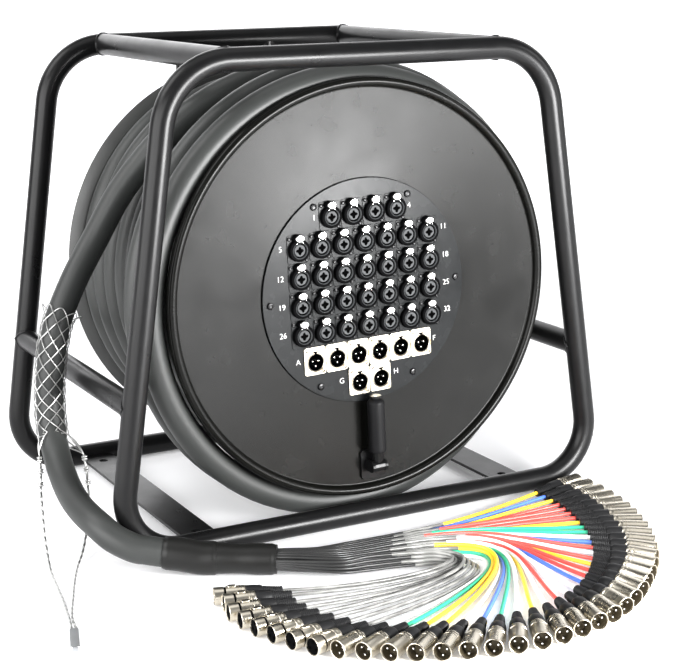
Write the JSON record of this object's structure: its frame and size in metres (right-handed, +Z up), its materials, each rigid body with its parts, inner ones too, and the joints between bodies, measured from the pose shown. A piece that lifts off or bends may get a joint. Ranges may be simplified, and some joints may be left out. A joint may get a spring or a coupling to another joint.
{
  "type": "stage box snake",
  "caption": "Audio multicore cable on a drum in a tubular floor frame, with a round socket panel in the drum's face and a fan of plug tails on the free end.",
  "frame": {"origin": "on the floor under the middle of the tubular frame", "axes": "+Z up, the socket panel faces -Y, +X to the right as seen from the front, drum axle along Y"},
  "size_m": [0.7139, 0.7617, 0.5309],
  "materials": {
    "frame_powder_coat": "satin black powder coat",
    "drum_powder_coat": "satin black powder coat on pressed steel",
    "panel_coat": "fine satin black, slightly blue",
    "plated_steel": "zinc-plated, satin",
    "steel_wire": "bright galvanised wire",
    "nickel": "bright nickel plate",
    "snake_jacket": "matte, faintly ribbed by the cores inside",
    "shrink_sleeve": "semi-matte shrink sleeve",
    "grip_rubber": "matte rubber",
    "tail_jacket": "soft jacket in several colours"
  },
  "bodies": {
    "root": {"front_hoop": "frame_powder_coat", "rear_hoop": "frame_powder_coat", "top_tube_left": "frame_powder_coat", "top_tube_right": "frame_powder_coat", "side_tube_left": "frame_powder_coat", "side_tube_right": "frame_powder_coat", "foot_bar_left": "frame_powder_coat", "foot_bar_right": "frame_powder_coat", "rear_post_left": "frame_powder_coat", "rear_post_right": "frame_powder_coat", "hub_plate": "frame_powder_coat", "spindle": "plated_steel", "spindle_nut": "plated_steel", "snake_free_run": "snake_jacket", "sleeve_large": "shrink_sleeve", "sleeve_small": "shrink_sleeve", "pulling_grip": "steel_wire", "rope_left": "steel_wire", "rope_right": "steel_wire", "rope_clip": "steel_wire", "tails_1": "tail_jacket", "tails_2": "tail_jacket", "tails_3": "tail_jacket", "tails_4": "tail_jacket", "tails_5": "tail_jacket"},
    "drum": {"front_flange": "drum_powder_coat", "rear_flange": "drum_powder_coat", "drum_barrel": "drum_powder_coat", "drum_hub": "plated_steel", "bearing_front": "plated_steel", "bearing_rear": "plated_steel", "snake_winding": "snake_jacket", "inner_cable_layers": "snake_jacket", "socket_panel": "panel_coat", "plug_socket_a": "nickel", "plug_socket_b": "nickel", "plug_socket_c": "nickel", "plug_socket_d": "nickel", "plug_socket_e": "nickel", "plug_socket_f": "nickel", "plug_socket_g": "nickel", "plug_socket_h": "nickel", "handle_bracket": "frame_powder_coat"},
    "handle_arm": {"handle_arm": "plated_steel"},
    "handle_grip": {"handle_grip": "grip_rubber"}
  },
  "joints": [
    {"name": "drum_spin", "type": "hinge", "parent": "root", "child": "drum", "pos_m": [0, 0, 0.262], "axis": [0, 1, 0], "continuous": true, "deforming": ["snake_free_run"]},
    {"name": "handle_fold", "type": "hinge", "parent": "drum", "child": "handle_arm", "pos_m": [0.0076, -0.1843, 0.06415], "axis": [0.9993, 0, 0.0384], "range_deg": [0, 90]},
    {"name": "grip_spin", "type": "hinge", "parent": "handle_arm", "child": "handle_grip", "pos_m": [0.0076, -0.1843, 0.06415], "axis": [-0.0384, 0, 0.9993], "continuous": true}
  ]
}
